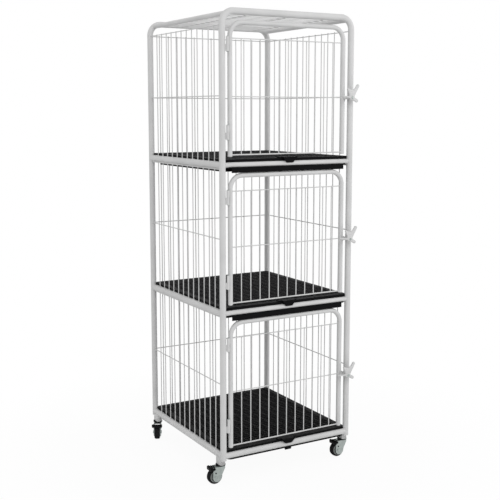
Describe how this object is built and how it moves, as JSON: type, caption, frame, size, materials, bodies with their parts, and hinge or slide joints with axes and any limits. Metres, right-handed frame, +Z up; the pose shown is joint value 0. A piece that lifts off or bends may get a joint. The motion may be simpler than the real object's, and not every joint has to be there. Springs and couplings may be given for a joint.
{
  "type": "pet cage",
  "caption": "Tall tiered steel wire pet cage on braked swivel casters, with hinged doors, turning latches, moulded floor grids and slide-out trays.",
  "frame": {"origin": "on the floor, midway between the four posts", "axes": "+Z up, -Y out through the doors, +X to the right seen from the front"},
  "size_m": [0.7376, 0.7302, 1.9067],
  "materials": {
    "white_powder_coat": "smooth semi-gloss powder coat, light grey-white",
    "painted_casting": "powder-coated casting, slightly rougher than the tube",
    "zinc_plate": "bright zinc plate, faintly green",
    "grid_plastic": "black moulded plastic, matt",
    "tray_plastic": "black moulded plastic, fine grain",
    "hub_plastic": "grey moulded plastic",
    "tyre_rubber": "black rubber tread",
    "pedal_plastic": "black moulded plastic"
  },
  "bodies": {
    "cage": {"front_left_post": "white_powder_coat", "front_right_post": "white_powder_coat", "rear_left_post": "white_powder_coat", "rear_right_post": "white_powder_coat", "front_top_hoop": "white_powder_coat", "rear_top_hoop": "white_powder_coat", "front_rails": "white_powder_coat", "rear_rails": "white_powder_coat", "left_side_rails": "white_powder_coat", "right_side_rails": "white_powder_coat", "left_wire_panels": "white_powder_coat", "right_wire_panels": "white_powder_coat", "rear_wire_panels": "white_powder_coat", "roof_wire_panel": "white_powder_coat", "tray_runners": "white_powder_coat", "hinge_barrels": "white_powder_coat", "hinge_pins": "zinc_plate", "caster_brackets": "white_powder_coat", "caster_seals": "pedal_plastic"},
    "lower_door": {"lower_door_frame": "white_powder_coat", "lower_door_wires": "white_powder_coat", "lower_latch_boss": "white_powder_coat"},
    "lower_latch": {"lower_latch_handle": "painted_casting", "lower_latch_tongue": "zinc_plate"},
    "lower_grid": {"lower_floor_grid": "grid_plastic"},
    "lower_tray_body": {"lower_tray": "tray_plastic"},
    "middle_door": {"middle_door_frame": "white_powder_coat", "middle_door_wires": "white_powder_coat", "middle_latch_boss": "white_powder_coat"},
    "middle_latch": {"middle_latch_handle": "painted_casting", "middle_latch_tongue": "zinc_plate"},
    "middle_grid": {"middle_floor_grid": "grid_plastic"},
    "middle_tray_body": {"middle_tray": "tray_plastic"},
    "upper_door": {"upper_door_frame": "white_powder_coat", "upper_door_wires": "white_powder_coat", "upper_latch_boss": "white_powder_coat"},
    "upper_latch": {"upper_latch_handle": "painted_casting", "upper_latch_tongue": "zinc_plate"},
    "upper_grid": {"upper_floor_grid": "grid_plastic"},
    "upper_tray_body": {"upper_tray": "tray_plastic"},
    "front_left_swivel": {"front_left_fork": "zinc_plate", "front_left_axle": "zinc_plate"},
    "front_left_wheel": {"front_left_hub": "hub_plastic", "front_left_tyre": "tyre_rubber"},
    "front_left_pedal": {"front_left_brake": "pedal_plastic"},
    "front_right_swivel": {"front_right_fork": "zinc_plate", "front_right_axle": "zinc_plate"},
    "front_right_wheel": {"front_right_hub": "hub_plastic", "front_right_tyre": "tyre_rubber"},
    "front_right_pedal": {"front_right_brake": "pedal_plastic"},
    "rear_left_swivel": {"rear_left_fork": "zinc_plate", "rear_left_axle": "zinc_plate"},
    "rear_left_wheel": {"rear_left_hub": "hub_plastic", "rear_left_tyre": "tyre_rubber"},
    "rear_left_pedal": {"rear_left_brake": "pedal_plastic"},
    "rear_right_swivel": {"rear_right_fork": "zinc_plate", "rear_right_axle": "zinc_plate"},
    "rear_right_wheel": {"rear_right_hub": "hub_plastic", "rear_right_tyre": "tyre_rubber"},
    "rear_right_pedal": {"rear_right_brake": "pedal_plastic"}
  },
  "joints": [
    {"name": "lower_door_hinge", "type": "hinge", "parent": "cage", "child": "lower_door", "pos_m": [-0.28615, -0.345, 0.414], "axis": [0, 0, -1], "range_deg": [0, 155]},
    {"name": "lower_latch_turn", "type": "hinge", "parent": "lower_door", "child": "lower_latch", "pos_m": [0.2836, -0.335, 0.383], "axis": [0, -1, 0], "range_deg": [0, 90]},
    {"name": "lower_tray_slide", "type": "slide", "parent": "cage", "child": "lower_tray_body", "axis": [0, -1, 0], "range_m": [0, 0.55]},
    {"name": "lower_grid_lift", "type": "slide", "parent": "cage", "child": "lower_grid", "axis": [0, 0, 1], "range_m": [0, 0.008]},
    {"name": "middle_door_hinge", "type": "hinge", "parent": "cage", "child": "middle_door", "pos_m": [-0.28615, -0.345, 1.006], "axis": [0, 0, -1], "range_deg": [0, 155]},
    {"name": "middle_latch_turn", "type": "hinge", "parent": "middle_door", "child": "middle_latch", "pos_m": [0.2836, -0.335, 0.975], "axis": [0, -1, 0], "range_deg": [0, 90]},
    {"name": "middle_tray_slide", "type": "slide", "parent": "cage", "child": "middle_tray_body", "axis": [0, -1, 0], "range_m": [0, 0.55]},
    {"name": "middle_grid_lift", "type": "slide", "parent": "cage", "child": "middle_grid", "axis": [0, 0, 1], "range_m": [0, 0.008]},
    {"name": "upper_door_hinge", "type": "hinge", "parent": "cage", "child": "upper_door", "pos_m": [-0.28615, -0.345, 1.598], "axis": [0, 0, -1], "range_deg": [0, 155]},
    {"name": "upper_latch_turn", "type": "hinge", "parent": "upper_door", "child": "upper_latch", "pos_m": [0.2836, -0.335, 1.567], "axis": [0, -1, 0], "range_deg": [0, 90]},
    {"name": "upper_tray_slide", "type": "slide", "parent": "cage", "child": "upper_tray_body", "axis": [0, -1, 0], "range_m": [0, 0.55]},
    {"name": "upper_grid_lift", "type": "slide", "parent": "cage", "child": "upper_grid", "axis": [0, 0, 1], "range_m": [0, 0.008]},
    {"name": "front_left_swivel_turn", "type": "hinge", "parent": "cage", "child": "front_left_swivel", "pos_m": [-0.305, -0.309, 0.079], "axis": [0, 0, 1], "continuous": true},
    {"name": "front_left_wheel_spin", "type": "hinge", "parent": "front_left_swivel", "child": "front_left_wheel", "pos_m": [-0.333, -0.309, 0.032], "axis": [0, -1, 0], "continuous": true},
    {"name": "front_left_brake_press", "type": "hinge", "parent": "front_left_swivel", "child": "front_left_pedal", "pos_m": [-0.342, -0.309, 0.0668], "axis": [0, -1, 0], "range_deg": [0, 15]},
    {"name": "front_right_swivel_turn", "type": "hinge", "parent": "cage", "child": "front_right_swivel", "pos_m": [0.305, -0.309, 0.079], "axis": [0, 0, 1], "continuous": true},
    {"name": "front_right_wheel_spin", "type": "hinge", "parent": "front_right_swivel", "child": "front_right_wheel", "pos_m": [0.277, -0.309, 0.032], "axis": [0, -1, 0], "continuous": true},
    {"name": "front_right_brake_press", "type": "hinge", "parent": "front_right_swivel", "child": "front_right_pedal", "pos_m": [0.268, -0.309, 0.0668], "axis": [0, -1, 0], "range_deg": [0, 15]},
    {"name": "rear_left_swivel_turn", "type": "hinge", "parent": "cage", "child": "rear_left_swivel", "pos_m": [-0.305, 0.309, 0.079], "axis": [0, 0, 1], "continuous": true},
    {"name": "rear_left_wheel_spin", "type": "hinge", "parent": "rear_left_swivel", "child": "rear_left_wheel", "pos_m": [-0.319, 0.28475, 0.032], "axis": [0.866, -0.5, 0], "continuous": true},
    {"name": "rear_left_brake_press", "type": "hinge", "parent": "rear_left_swivel", "child": "rear_left_pedal", "pos_m": [-0.3235, 0.27696, 0.0668], "axis": [0.866, -0.5, 0], "range_deg": [0, 15]},
    {"name": "rear_right_swivel_turn", "type": "hinge", "parent": "cage", "child": "rear_right_swivel", "pos_m": [0.305, 0.309, 0.079], "axis": [0, 0, 1], "continuous": true},
    {"name": "rear_right_wheel_spin", "type": "hinge", "parent": "rear_right_swivel", "child": "rear_right_wheel", "pos_m": [0.333, 0.309, 0.032], "axis": [0, 1, 0], "continuous": true},
    {"name": "rear_right_brake_press", "type": "hinge", "parent": "rear_right_swivel", "child": "rear_right_pedal", "pos_m": [0.342, 0.309, 0.0668], "axis": [0, 1, 0], "range_deg": [0, 15]}
  ]
}
